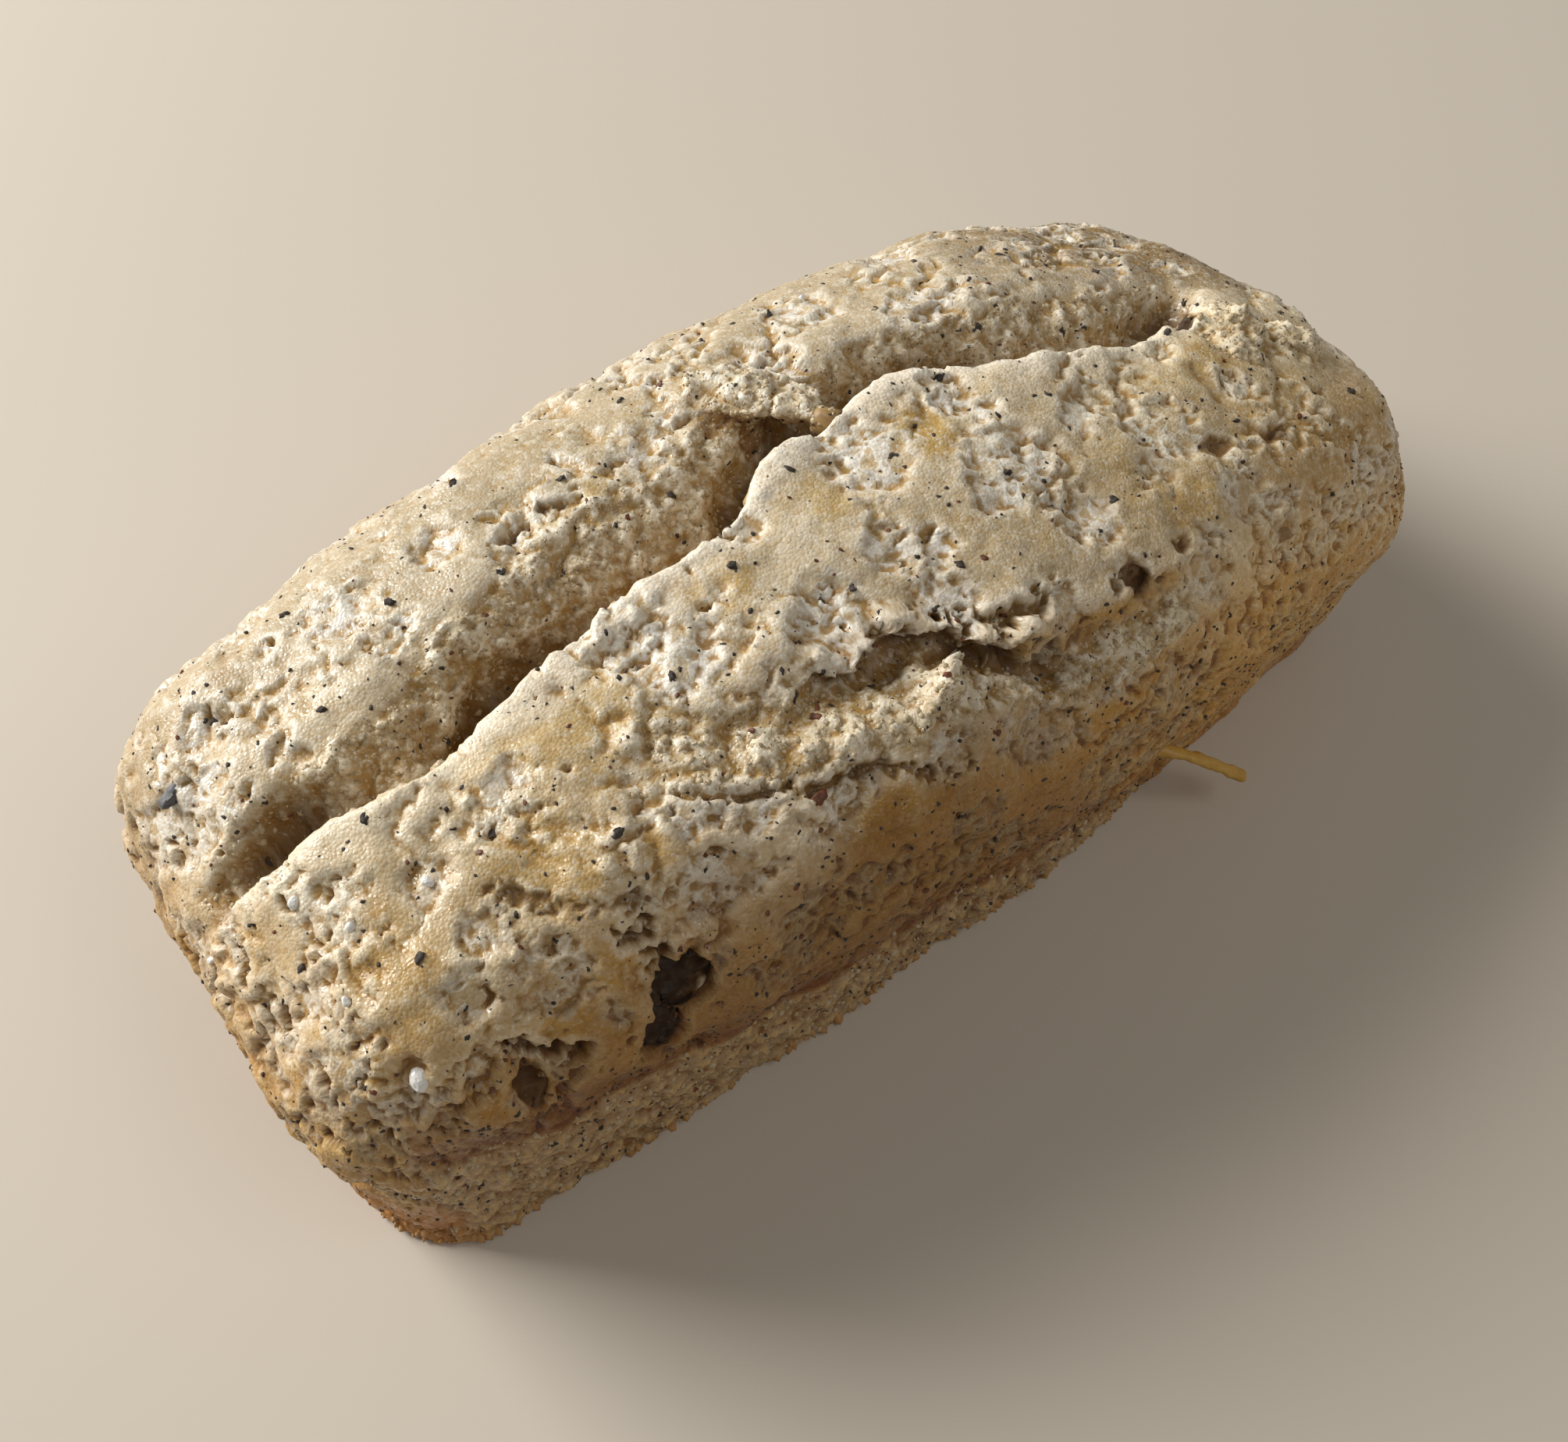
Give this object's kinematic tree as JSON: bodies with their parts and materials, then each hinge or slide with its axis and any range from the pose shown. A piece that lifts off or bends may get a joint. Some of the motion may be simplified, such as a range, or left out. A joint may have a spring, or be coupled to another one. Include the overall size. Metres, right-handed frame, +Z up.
{
  "type": "tea loaf",
  "caption": "Whole small loaf of spiced tea bread with tapered walls, round shoulders and a domed top split along its length, flecked with tea leaf.",
  "frame": {"origin": "middle of the flat underside, under the middle of the loaf's box", "axes": "+X along the loaf towards its lower end, +Y across it, +Z up"},
  "size_m": [0.1494, 0.069, 0.0507],
  "materials": {
    "crust": "matte golden baked crust with pale torn crumb",
    "tea_leaf": "dry black tea leaf",
    "spice": "dry red-brown spice",
    "sugar": "bright sugar grain"
  },
  "bodies": {
    "root": {"loaf": "crust"}
  },
  "joints": []
}
